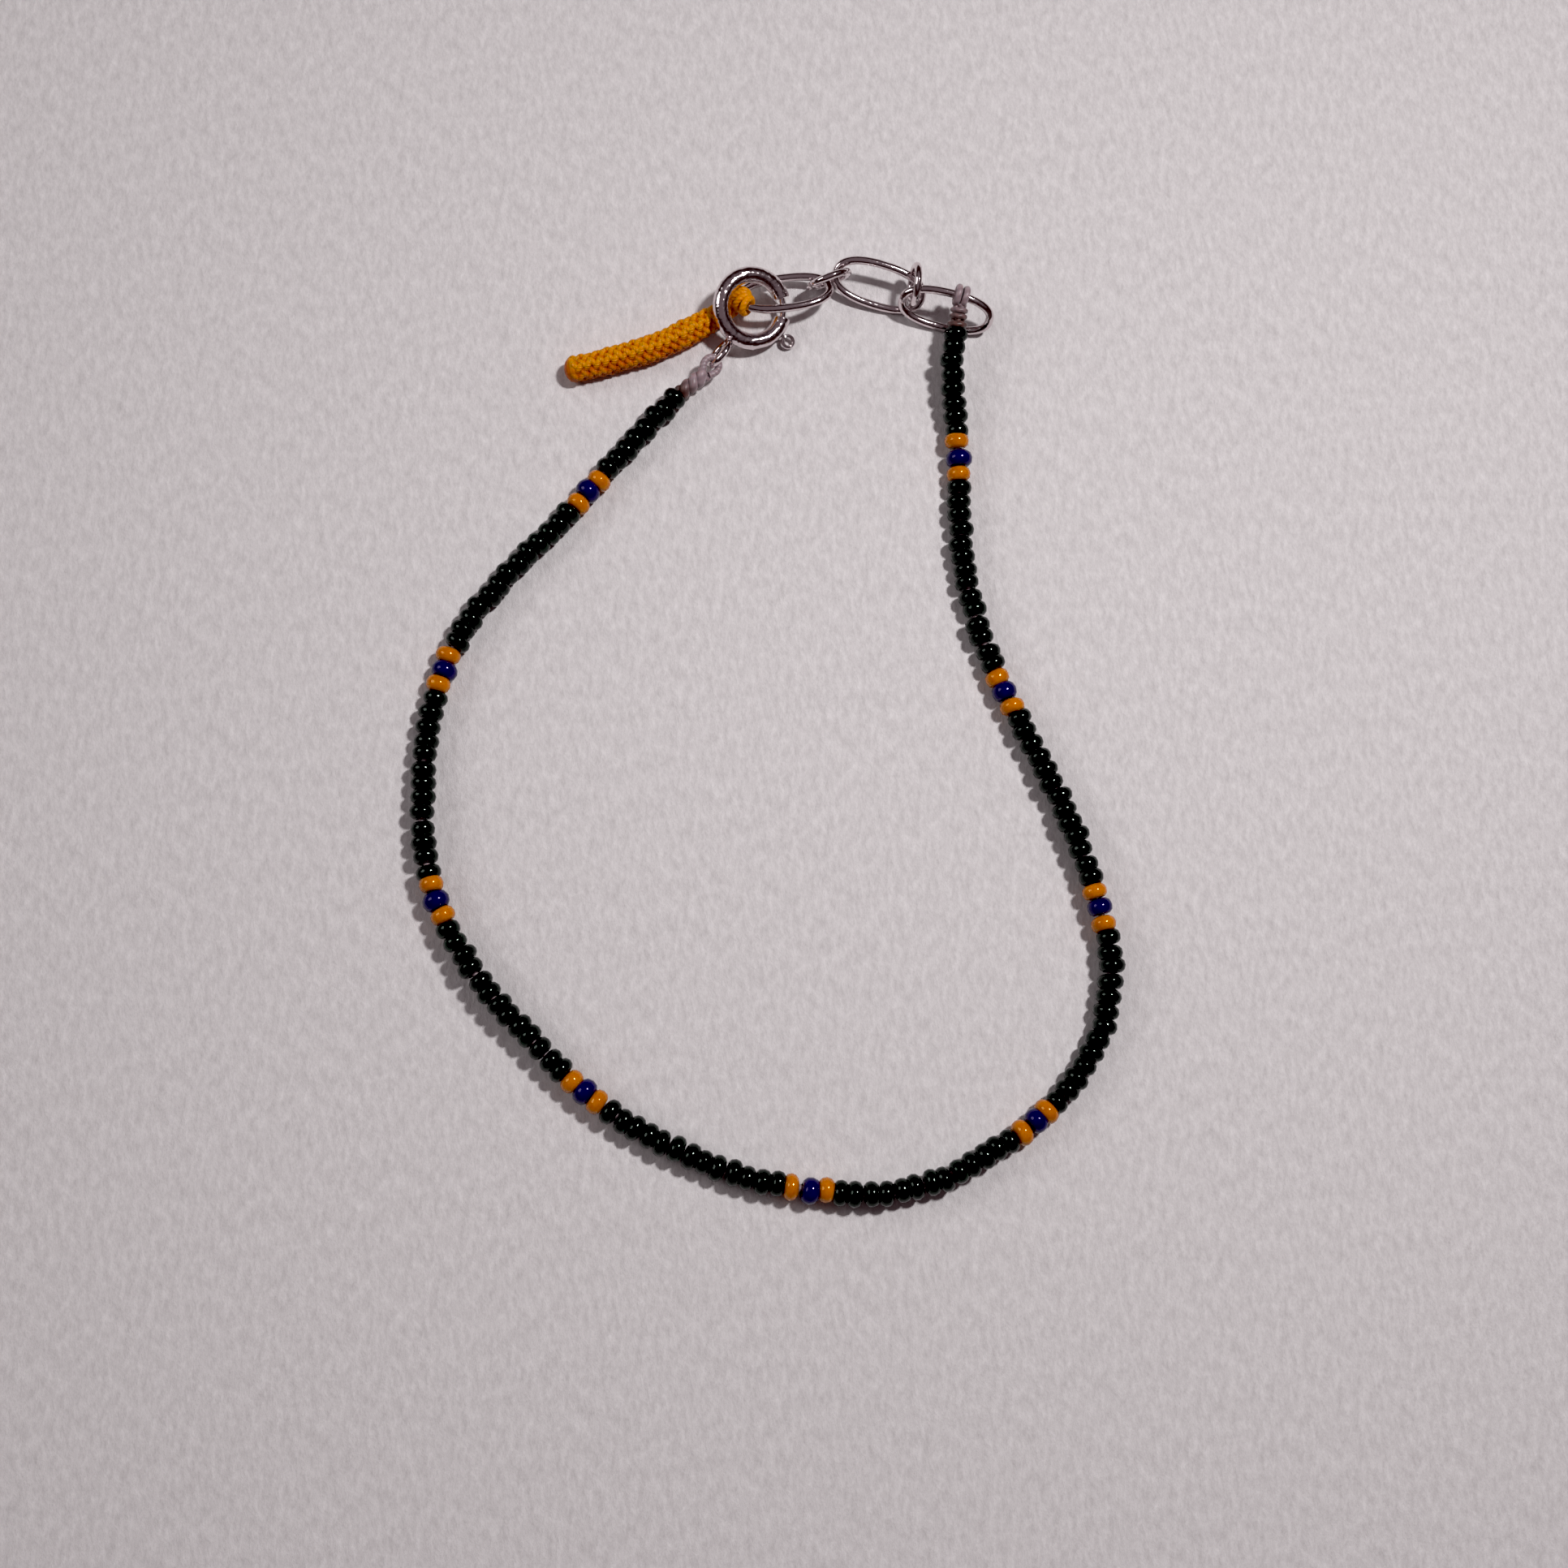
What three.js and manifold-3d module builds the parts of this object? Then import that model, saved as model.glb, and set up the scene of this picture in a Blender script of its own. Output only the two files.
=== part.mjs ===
// A beaded bracelet lying flat: one strand of small glass beads, closed by a spring-ring clasp
// that is hooked into the first of three long links. Millimetres, +Z up, standing on z = 0,
// with the origin under the middle of the bracelet.
import * as THREE from "three";
import { mergeVertices } from "three/addons/utils/BufferGeometryUtils.js";
import Module from "manifold-3d";

const wasm = await Module();
wasm.setup();

// ---------------------------------------------------------------- driving dimensions

const BEAD = {
  green: { width: 1.78, length: 1.07 },
  orange: { width: 1.78, length: 1.1 },
  blue: { width: 1.86, length: 1.24 },
};
const GREEN_RUNS = [8, 14, 13, 13, 13, 13, 13, 13, 13, 8]; // beads between one triad and the next
const TRIAD = ["orange", "blue", "orange"];
const BEAD_FACETS = 8;
const BEAD_PROFILE = [
  { along: -0.5, across: 0.62 },
  { along: -0.22, across: 1 },
  { along: 0.22, across: 1 },
  { along: 0.5, across: 0.62 },
]; // shares of a bead's length and of half its width
const BEAD_GAP = 0.05; // between one bead's end and its neighbour's, where they are separate

// The strand's centre line, from the chain's end round to the clasp. It lies on the surface but
// for its first beads, which hang from a raised link, and the long low arches where the stiff
// thread holds the beads clear.
const STRAND_ROUTE = [
  { x: 14.75, y: 29.75, z: 2.1 },
  { x: 14.28, y: 25.9, z: 1.9 },
  { x: 14.58, y: 23.15, z: 1.4 },
  { x: 14.69, y: 18.4, z: 0.98 },
  { x: 14.7, y: 14, z: 0.87 },
  { x: 15.1, y: 9.9, z: 0.9 },
  { x: 16, y: 6.05, z: 0.96 },
  { x: 17.6, y: 1.85, z: 1.05 },
  { x: 19.9, y: -3.2, z: 1.22 },
  { x: 22.05, y: -8.25, z: 1.42 },
  { x: 23.6, y: -13.4, z: 1.42 },
  { x: 24.5, y: -17.45, z: 1.28 },
  { x: 24.05, y: -21.75, z: 1.1 },
  { x: 22.5, y: -25.4, z: 0.91 },
  { x: 18.9, y: -29.3, z: 0.99 },
  { x: 14.35, y: -32.3, z: 1.2 },
  { x: 9.35, y: -34.2, z: 1.33 },
  { x: 3.9, y: -34.2, z: 1.28 },
  { x: -1.9, y: -33.1, z: 1.2 },
  { x: -7.8, y: -30.6, z: 1.2 },
  { x: -13, y: -27.15, z: 1.42 },
  { x: -16.9, y: -23.25, z: 1.55 },
  { x: -20.45, y: -19.15, z: 1.58 },
  { x: -23.05, y: -14.6, z: 1.5 },
  { x: -24.45, y: -9.5, z: 1.34 },
  { x: -24.5, y: -3.95, z: 1.15 },
  { x: -23.9, y: 1.05, z: 0.98 },
  { x: -21.9, y: 6.2, z: 0.91 },
  { x: -18.6, y: 10.6, z: 0.87 },
  { x: -14.8, y: 14.6, z: 0.87 },
  { x: -11.3, y: 18.8, z: 0.88 },
  { x: -8.5, y: 22, z: 0.92 },
  { x: -6.1, y: 24.6, z: 0.95 },
];

const LINK = { length: 6.76, width: 3.09, wire: 0.62, squareness: 2.4 }; // to the middle of the wire
const LINK_PLACES = [
  { name: "link_1", at: [1.89, 32.5, 1.7], heading: 9, pitch: -0.2, roll: -21.4 },
  { name: "link_2", at: [9.02, 33.39, 1.33], heading: -14.8, pitch: -6.1, roll: 34.3 },
  { name: "link_3", at: [14.02, 31.3, 1.69], heading: -12.3, pitch: -3.5, roll: 57.7 },
]; // degrees: heading about z, pitch lifts the right end, roll lifts the far side
const RING_PLACES = [
  { name: "connecting_ring_1", at: [5.2, 33.53, 1.91], radius: 1.53, facing: 111.5, lean: 12.8 },
  { name: "connecting_ring_2", at: [11.73, 33.06, 2.28], radius: 1.48, facing: -14.6, lean: -2.8 },
]; // radius to the middle of the wire; facing and lean say where its axis points, in degrees
const RING_WIRE = 0.54;

// The clasp is made flat, with its middle at its own origin, and then tilted: its far left side
// is up on the yellow tag and its lever is down on the surface. Angles run anticlockwise from +X.
const CLASP = { at: [-0.63, 31.12, 1.95], tilt: 24, lowSide: -45, radius: 2.48, tube: 1.24 };
const CLASP_GAP = { from: -12, to: 22 };
const CLASP_BORE = { width: 0.76, spring: 84, socket: 12 }; // degrees of tube that are hollow
const TONGUE = { width: 0.46, root: -41, reach: 30 };
const LEVER = { at: -37, eye: 3.72, eyeRadius: 0.38, wire: 0.38, travel: 40 };
const SLOT = { middle: 2.93, width: 0.56, spare: 5 }; // spare: degrees past the lever at each end
const EYE = { at: -124, middle: 4.3, radius: 1.1, wire: 0.48, solder: 0.6 };

const THREAD = 0.52;
const THREAD_GAP = 0.12; // between a thread and the wire that it goes round
const KNOT_TURNS = { clasp: 1.25, chain: 1 };
const KNOT_CLEAR = { clasp: 0.3, chain: 0.5 }; // from the knot to the bead at its end
const CHAIN_THREAD_TURNS = [0.5, 1.05]; // along the last link from its middle
const TAG = 1.96; // width of the knotted yellow cord
const TAG_LOOP = { width: 0.46, neck: 0.8 }; // widths of its single cord and of that cord doubled
const TAG_ROUTE = [
  { x: -14.45, y: 26.44, width: 0.3 },
  { x: -14.2, y: 26.47, width: 0.8 },
  { x: -13.57, y: 26.56, width: 1 },
  { x: -10.74, y: 27.35, width: 1 },
  { x: -7.49, y: 28.48, width: 1 },
  { x: -5.1, y: 29.75, width: 1 },
  { x: -3.3, y: 30.85, width: 0.89 },
  { x: -2.45, y: 31.4, width: 0.79, rise: 0.05 },
  { x: -1.85, y: 31.8, width: 0.58, rise: 0.4 },
]; // its middle line, shares of its width, and how far its knot rises off the surface

const SILVER = new THREE.MeshStandardMaterial({ color: 0xd8d4d6, roughness: 0.12, metalness: 1 });
const GLASS = {
  green: new THREE.MeshStandardMaterial({ color: 0x04301c, roughness: 0.08, metalness: 0 }),
  orange: new THREE.MeshStandardMaterial({ color: 0xd98c0c, roughness: 0.12, metalness: 0 }),
  blue: new THREE.MeshStandardMaterial({ color: 0x1c1066, roughness: 0.1, metalness: 0 }),
};
const WAXED = new THREE.MeshStandardMaterial({ color: 0x9a8288, roughness: 0.6, metalness: 0 });
const NYLON = new THREE.MeshStandardMaterial({ color: 0xe09608, roughness: 0.5, metalness: 0 });

// ---------------------------------------------------------------- shapes

const rad = THREE.MathUtils.degToRad;
const UP = new THREE.Vector3(0, 0, 1);

/** A closed skin through rings of points: the rings' ends are capped, or joined in a loop. */
function loft(rings, looped = false) {
  const sides = rings[0].length;
  const position = rings.flat().flatMap((p) => p.toArray());
  const index = [];
  const spans = looped ? rings.length : rings.length - 1;
  for (let i = 0; i < spans; i++) {
    const next = (i + 1) % rings.length;
    for (let k = 0; k < sides; k++) {
      const turn = (k + 1) % sides;
      const [a, b] = [i * sides + k, i * sides + turn];
      const [c, d] = [next * sides + k, next * sides + turn];
      index.push(a, b, c, b, d, c);
    }
  }
  if (!looped) {
    const last = (rings.length - 1) * sides;
    for (let k = 1; k < sides - 1; k++) {
      index.push(0, k + 1, k, last, last + k, last + k + 1);
    }
  }
  const geometry = new THREE.BufferGeometry();
  geometry.setAttribute("position", new THREE.Float32BufferAttribute(position, 3));
  geometry.setIndex(index);
  return geometry;
}

/** One ring of points about a centre, across `tangent`, with a flat side towards -`up`. */
function ringAt(centre, tangent, up, radius, sides) {
  const right = new THREE.Vector3().crossVectors(tangent, up).normalize();
  const above = new THREE.Vector3().crossVectors(right, tangent).normalize();
  const corner = radius / Math.cos(Math.PI / sides);
  return Array.from({ length: sides }, (_, k) => {
    const angle = -(2 * Math.PI * (k + 0.5)) / sides - Math.PI / 2;
    return centre
      .clone()
      .addScaledVector(right, corner * Math.cos(angle))
      .addScaledVector(above, corner * Math.sin(angle));
  });
}

/** The distance to the flats of a regular polygon that has a circle's area. */
function flats(radius, sides) {
  return radius * Math.sqrt(Math.PI / (sides * Math.tan(Math.PI / sides)));
}

/** A round wire along an arc in the XY plane, from one angle to another in degrees. */
function arcWire(radius, width, from, to, steps, sides) {
  const half = flats(width / 2, sides);
  const rings = Array.from({ length: steps + 1 }, (_, i) => {
    const angle = rad(from + ((to - from) * i) / steps);
    const centre = new THREE.Vector3(radius * Math.cos(angle), radius * Math.sin(angle), 0);
    const tangent = new THREE.Vector3(-Math.sin(angle), Math.cos(angle), 0);
    return ringAt(centre, tangent, UP, half, sides);
  });
  return loft(rings);
}

/** A round cord along a smooth curve through the points. */
function cord(points, width, steps, sides = 6) {
  const section = new THREE.Shape().absarc(0, 0, width / 2, 0, 2 * Math.PI);
  const extrudePath = new THREE.CatmullRomCurve3(points);
  return new THREE.ExtrudeGeometry(section, { steps, curveSegments: sides / 2, extrudePath });
}

function solidOf(geometry) {
  const bare = geometry.index ? geometry.toNonIndexed() : geometry.clone();
  bare.deleteAttribute("normal");
  bare.deleteAttribute("uv");
  const merged = mergeVertices(bare, 1e-4);
  return new wasm.Manifold(
    new wasm.Mesh({
      numProp: 3,
      vertProperties: merged.attributes.position.array,
      triVerts: new Uint32Array(merged.index.array),
    }),
  );
}

function geometryOf(solid) {
  const { vertProperties, triVerts } = solid.getMesh();
  const geometry = new THREE.BufferGeometry();
  geometry.setAttribute("position", new THREE.BufferAttribute(vertProperties, 3));
  geometry.setIndex(new THREE.BufferAttribute(triVerts, 1));
  return geometry;
}

function joined(geometries) {
  return geometryOf(geometries.map(solidOf).reduce((whole, part) => whole.add(part)));
}

function piece(name, geometry, material) {
  const mesh = new THREE.Mesh(geometry, material);
  mesh.name = name;
  return mesh;
}

// ---------------------------------------------------------------- the strand of beads

const strand = new THREE.CatmullRomCurve3(
  STRAND_ROUTE.map(({ x, y, z }) => new THREE.Vector3(x, y, z)),
  false,
  "centripetal",
);
strand.arcLengthDivisions = 2000;

/** The beads in order: runs of green with an orange, blue, orange triad between them. */
function beadOrder() {
  return GREEN_RUNS.flatMap((count, run) => {
    const greens = Array.from({ length: count }, () => ({ colour: "green", run }));
    const triad = TRIAD.map((colour, place) => ({ colour, triad: run, place }));
    return run < GREEN_RUNS.length - 1 ? [...greens, ...triad] : greens;
  });
}

/** Each bead's start and end along the strand, which they fill from end to end. */
function beadPlaces() {
  const beads = beadOrder();
  const nominal = beads.reduce((sum, { colour }) => sum + BEAD[colour].length, 0);
  const stretch = 1 / nominal;
  let used = 0;
  return beads.map((bead) => {
    const start = used;
    used += BEAD[bead.colour].length * stretch;
    return { ...bead, start, end: Math.min(used, 1) };
  });
}

/** A bead's rings: a barrel across the strand, resting no lower than its own half width. */
function beadRings({ colour, start, end }, trimStart = 0, trimEnd = 0) {
  const half = BEAD[colour].width / 2;
  const trim = BEAD_GAP / 2 / strand.getLength();
  const [from, to] = [start + trim * trimStart, end - trim * trimEnd];
  return BEAD_PROFILE.map(({ along, across }) => {
    const u = THREE.MathUtils.lerp(from, to, along + 0.5);
    const centre = strand.getPointAt(u);
    centre.z = Math.max(centre.z, half);
    return ringAt(centre, strand.getTangentAt(u), UP, half * across, BEAD_FACETS);
  });
}

/** A run of beads of one colour, joined along their thread: neighbours share a ring. */
function beadRun(beads) {
  const last = beads.length - 1;
  const rings = beads.flatMap((bead, i) => {
    const all = beadRings(bead, i === 0 ? 1 : 0, i === last ? 1 : 0);
    return i === 0 ? all : all.slice(1);
  });
  return loft(rings);
}

function makeStrand() {
  const places = beadPlaces();
  const runs = GREEN_RUNS.map((_, run) => {
    const beads = places.filter((bead) => bead.run === run);
    return piece(`green_beads_${run + 1}`, beadRun(beads), GLASS.green);
  });
  const singles = places
    .filter(({ colour }) => colour !== "green")
    .map((bead) => {
      const side = { 0: "_a", 1: "", 2: "_b" }[bead.place];
      const name = `${bead.colour}_bead_${bead.triad + 1}${side}`;
      return piece(name, loft(beadRings(bead, 1, 1)), GLASS[bead.colour]);
    });
  return [...runs, ...singles];
}

// ---------------------------------------------------------------- the chain

/** A long link: a wire bent to a squared oval in the XY plane. */
function linkShape() {
  const steps = 28;
  const power = 2 / LINK.squareness;
  const rings = Array.from({ length: steps }, (_, i) => {
    const angle = (2 * Math.PI * (i + 0.5)) / steps;
    const [c, s] = [Math.cos(angle), Math.sin(angle)];
    const x = (LINK.length / 2) * Math.sign(c) * Math.abs(c) ** power;
    const y = (LINK.width / 2) * Math.sign(s) * Math.abs(s) ** power;
    const tangent = new THREE.Vector3(
      -(LINK.length / 2) * Math.abs(s) ** (2 - power) * Math.sign(s),
      (LINK.width / 2) * Math.abs(c) ** (2 - power) * Math.sign(c),
      0,
    ).normalize();
    return ringAt(new THREE.Vector3(x, y, 0), tangent, UP, flats(LINK.wire / 2, 6), 6);
  });
  return loft(rings, true);
}

function makeChain() {
  const links = LINK_PLACES.map(({ name, at, heading, pitch, roll }) => {
    const link = piece(name, linkShape(), SILVER);
    link.position.set(...at);
    link.rotation.set(rad(roll), rad(-pitch), rad(heading), "ZYX");
    link.updateMatrix();
    return link;
  });
  const rings = RING_PLACES.map(({ name, at, radius, facing, lean }) => {
    const ring = piece(name, new THREE.TorusGeometry(radius, RING_WIRE / 2, 6, 20), SILVER);
    ring.position.set(...at);
    ring.rotation.set(0, rad(90 - lean), rad(facing), "ZYX");
    return ring;
  });
  return [...links, ...rings];
}

// ---------------------------------------------------------------- the clasp

/** Where a point of the flat clasp lies: distance and angle about its middle, and height. */
function onClasp(distance, angle, height = 0) {
  return new THREE.Vector3(
    distance * Math.cos(rad(angle)),
    distance * Math.sin(rad(angle)),
    height,
  );
}

/** The C-shaped tube with its bore, socket and lever slot, and the eye soldered to it. */
function claspBody() {
  const end = 360 + CLASP_GAP.from;
  const tube = arcWire(CLASP.radius, CLASP.tube, CLASP_GAP.to, end, 32, 10);
  const bore = (from, to, steps) =>
    solidOf(arcWire(CLASP.radius, CLASP_BORE.width, from, to, steps, 8));
  const springBore = bore(end - CLASP_BORE.spring, end + 1, 12);
  const socket = bore(CLASP_GAP.to - 1, CLASP_GAP.to + CLASP_BORE.socket, 3);
  const slotStart = LEVER.at - LEVER.travel - SLOT.spare;
  const slot = arcWire(SLOT.middle, SLOT.width, slotStart, LEVER.at + SLOT.spare, 6, 4);
  const eye = new THREE.TorusGeometry(EYE.radius, EYE.wire / 2, 6, 20);
  eye.rotateX(Math.PI / 2).rotateZ(rad(EYE.at));
  eye.translate(...onClasp(EYE.middle, EYE.at));
  const solder = new THREE.SphereGeometry(EYE.solder / 2, 10, 8);
  solder.translate(...onClasp(CLASP.radius + CLASP.tube / 2, EYE.at));
  return geometryOf(
    solidOf(tube)
      .add(solidOf(solder))
      .add(solidOf(eye))
      .subtract(springBore)
      .subtract(socket)
      .subtract(solidOf(slot)),
  );
}

/** The trigger: the tongue that closes the gap and its lever, which ends in a curled eye. */
function trigger() {
  const tongue = arcWire(CLASP.radius, TONGUE.width, TONGUE.root, TONGUE.reach, 12, 6);
  const shank = new THREE.CylinderGeometry(LEVER.wire / 2, LEVER.wire / 2, 1, 8);
  const shankEnds = { from: CLASP.radius, to: LEVER.eye - LEVER.eyeRadius };
  shank.scale(1, shankEnds.to - shankEnds.from, 1);
  shank.rotateZ(rad(LEVER.at - 90));
  shank.translate(...onClasp((shankEnds.from + shankEnds.to) / 2, LEVER.at));
  const eye = new THREE.TorusGeometry(LEVER.eyeRadius, LEVER.wire / 2, 6, 12);
  eye.translate(...onClasp(LEVER.eye, LEVER.at));
  return joined([tongue, shank, eye]);
}

const claspFrame = new THREE.Group();
claspFrame.position.set(...CLASP.at);
claspFrame.quaternion.setFromAxisAngle(onClasp(1, CLASP.lowSide + 90), rad(CLASP.tilt));
claspFrame.updateMatrix();

function makeClasp() {
  claspFrame.add(piece("clasp_ring", claspBody(), SILVER), piece("trigger", trigger(), SILVER));
  return claspFrame;
}

// ---------------------------------------------------------------- threads and tag

/** A closed turn of cord round a wire, in the plane across the wire's direction. */
function turnRound(centre, along, width, inner) {
  const turn = new THREE.TorusGeometry(inner + width / 2, width / 2, 6, 12);
  turn.applyQuaternion(new THREE.Quaternion().setFromUnitVectors(UP, along.clone().normalize()));
  return turn.translate(...centre);
}

/** Two strands of thread twisted about the line from one point to another. */
function twist(from, to, turns) {
  const axis = new THREE.Vector3().subVectors(to, from);
  const side = new THREE.Vector3().crossVectors(axis, UP).normalize();
  const lift = new THREE.Vector3().crossVectors(side, axis).normalize();
  const steps = 8;
  const spread = THREAD / 2;
  return [0, Math.PI].map((phase) => {
    const points = Array.from({ length: steps + 1 }, (_, i) => {
      const angle = phase + (2 * Math.PI * turns * i) / steps;
      return from
        .clone()
        .addScaledVector(axis, i / steps)
        .addScaledVector(side, spread * Math.cos(angle))
        .addScaledVector(lift, spread * Math.sin(angle));
    });
    return cord(points, THREAD, 12);
  });
}

/** The knot at one end of the strand, which stops just short of its bead. */
function knot(from, to, end) {
  const clear = new THREE.Vector3().subVectors(from, to).setLength(KNOT_CLEAR[end]);
  return twist(from, to.add(clear), KNOT_TURNS[end]);
}

/** The thread at the clasp: a bight through the soldered eye, and its two ends knotted. */
function claspThread() {
  const wire = EYE.middle + EYE.radius;
  const clear = EYE.wire / 2 + THREAD / 2 + THREAD_GAP;
  const bight = [
    { out: 1.25, aside: 0.5 },
    { out: 0.7, aside: 0.85 },
    { out: 0, aside: 1 },
    { out: -0.7, aside: 0.72 },
    { out: -1, aside: 0 },
  ]; // shares of the clear distance, down one side of the eye's wire
  const half = (sign) =>
    bight.map(({ out, aside }) => {
      const middle = onClasp(wire + out * clear, EYE.at);
      const across = onClasp(1, EYE.at + 90);
      return middle.addScaledVector(across, sign * aside * clear).applyMatrix4(claspFrame.matrix);
    });
  const loop = [...half(1), ...half(-1).reverse().slice(1)];
  const from = onClasp(wire + bight[0].out * clear, EYE.at).applyMatrix4(claspFrame.matrix);
  const to = strand.getPointAt(1);
  return joined([cord(loop, THREAD, 22), ...knot(from, to, "clasp")]);
}

/** The thread at the chain: two turns round the last link's upper arm, and its knotted ends. */
function chainThread(link) {
  const inner = LINK.wire / 2 + THREAD_GAP;
  const turns = CHAIN_THREAD_TURNS.map((along) => {
    const [centre, ahead] = [along, along + 0.1].map((x) => onLinkArm(link, x));
    return turnRound(centre, ahead.sub(centre), THREAD, inner);
  });
  const arm = onLinkArm(link, (CHAIN_THREAD_TURNS[0] + CHAIN_THREAD_TURNS[1]) / 2);
  const to = strand.getPointAt(0);
  const from = new THREE.Vector3().subVectors(to, arm).setLength(inner + THREAD / 2).add(arm);
  return joined([...turns, ...knot(from, to, "chain")]);
}

/** The point of a link's far arm that lies this far along it from the link's middle. */
function onLinkArm(link, x) {
  const share = Math.abs(x / (LINK.length / 2)) ** LINK.squareness;
  const y = (LINK.width / 2) * (1 - share) ** (1 / LINK.squareness);
  return new THREE.Vector3(x, y, 0).applyMatrix4(link.matrix);
}

/** The knotted yellow cord: a round bar on the surface, tied by its loop to the first link. */
function yellowTag(link) {
  const route = new THREE.CatmullRomCurve3(
    TAG_ROUTE.map(({ x, y, width, rise = 0 }) => new THREE.Vector3(x, y, (TAG / 2) * width + rise)),
  );
  const last = TAG_ROUTE.length - 1;
  const bar = TAG_ROUTE.map(({ width }, i) => {
    const at = route.getPoint(i / last);
    return ringAt(at, route.getTangent(i / last), UP, (TAG / 2) * width, 10);
  });
  const tip = new THREE.Vector3(-LINK.length / 2, 0, 0);
  const turns = [-0.5, 0.5].map((side) => {
    const centre = tip.clone().setY(side * TAG_LOOP.width).applyMatrix4(link.matrix);
    const along = new THREE.Vector3(0, 1, 0).transformDirection(link.matrix);
    return turnRound(centre, along, TAG_LOOP.width, LINK.wire / 2 + THREAD_GAP);
  });
  const inside = route.getPoint(1 - 0.5 / last);
  const outside = tip.clone().setX(tip.x - LINK.wire - TAG_LOOP.width / 2);
  const neck = cord([inside, outside.applyMatrix4(link.matrix)], TAG_LOOP.neck, 2, 8);
  return joined([loft(bar), ...turns, neck]);
}

// ---------------------------------------------------------------- the bracelet

const chain = makeChain();
const [firstLink, , lastLink] = chain;

export default new THREE.Group().add(
  ...makeStrand(),
  ...chain,
  makeClasp(),
  piece("clasp_thread", claspThread(), WAXED),
  piece("chain_thread", chainThread(lastLink), WAXED),
  piece("yellow_tag", yellowTag(firstLink), NYLON),
);
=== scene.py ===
"""A beaded bracelet lying flat: small glass beads on a waxed thread, closed by a silver
spring-ring clasp on a short chain, with a knotted yellow cord tied beside it. Lengths are in
millimetres in this script, and become metres where a mesh is made."""
import math
import bpy
import numpy as np
from mathutils import Matrix, Vector


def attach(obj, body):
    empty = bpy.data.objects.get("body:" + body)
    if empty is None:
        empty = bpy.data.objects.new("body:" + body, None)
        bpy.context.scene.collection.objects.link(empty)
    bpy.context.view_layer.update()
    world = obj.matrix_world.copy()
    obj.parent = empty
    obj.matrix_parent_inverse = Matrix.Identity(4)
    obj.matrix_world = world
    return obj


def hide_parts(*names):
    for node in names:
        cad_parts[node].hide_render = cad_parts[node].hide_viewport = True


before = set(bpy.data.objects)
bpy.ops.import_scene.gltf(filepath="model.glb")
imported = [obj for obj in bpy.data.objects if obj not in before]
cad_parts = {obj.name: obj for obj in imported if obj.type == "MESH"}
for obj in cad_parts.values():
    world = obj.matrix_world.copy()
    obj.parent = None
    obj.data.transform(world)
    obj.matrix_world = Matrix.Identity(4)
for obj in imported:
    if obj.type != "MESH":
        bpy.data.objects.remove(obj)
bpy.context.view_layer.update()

MM = 0.001
RNG = np.random.default_rng(13)
UP = np.array([0.0, 0.0, 1.0])

# ---------------------------------------------------------------- camera

CAMERA_AT = (-10.61, -40.52, 167.51)
CAMERA_LOOKS_AT = (1.3, -5.1, 0.85)
LENS, SENSOR = 54.26, 36


def unit(v):
    """v divided by its own length, row by row."""
    return v / np.linalg.norm(v, axis=-1, keepdims=True)


def looking(at, target):
    """The turn and place of a thing that looks from one point to another, level across X."""
    back = unit(np.subtract(at, target).astype(float))
    up = unit(np.cross(back, (1, 0, 0)))
    right = np.cross(up, back)
    matrix = np.eye(4)
    matrix[:3, :3] = np.stack([right, up, back], axis=1)
    matrix[:3, 3] = np.array(at) * MM
    return Matrix(matrix.tolist())


def make_camera():
    """The one camera, high above and a little in front."""
    camera = bpy.data.objects.new("camera", bpy.data.cameras.new("camera"))
    bpy.context.scene.collection.objects.link(camera)
    camera.data.lens = LENS
    camera.data.sensor_width = SENSOR
    camera.data.clip_start = 5 * MM
    camera.matrix_world = looking(CAMERA_AT, CAMERA_LOOKS_AT)
    bpy.context.scene.camera = camera


make_camera()

# ---------------------------------------------------------------- meshes from arrays


def grid_corners(spans, columns):
    """For every quad of a grid, its (row, column), and then the rows and the columns of its four
    corners, which may run one past the last."""
    row, column = (
        a.ravel() for a in np.meshgrid(np.arange(spans), np.arange(columns), indexing="ij")
    )
    return (row, column), row[:, None] + [0, 1, 1, 0], column[:, None] + [0, 0, 1, 1]


def grid_shell(points, closed_rows=False, tile=(1.0, 1.0)):
    """A skin over a grid of points (rows, columns, 3) whose columns wrap round. Rows join in a
    loop, or each end is closed by one face. UV is (column share, row share) * tile."""
    rows, columns = points.shape[:2]
    spans = rows if closed_rows else rows - 1
    _, corner_row, corner_column = grid_corners(spans, columns)
    quads = (corner_row % rows) * columns + corner_column % columns
    uv = np.stack([corner_column / columns * tile[0], corner_row / spans * tile[1]], axis=-1)
    ring = np.arange(columns)
    caps = [] if closed_rows else [ring[::-1].tolist(), ((rows - 1) * columns + ring).tolist()]
    return {"points": points.reshape(-1, 3), "quads": quads, "uv": uv, "caps": caps}


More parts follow.
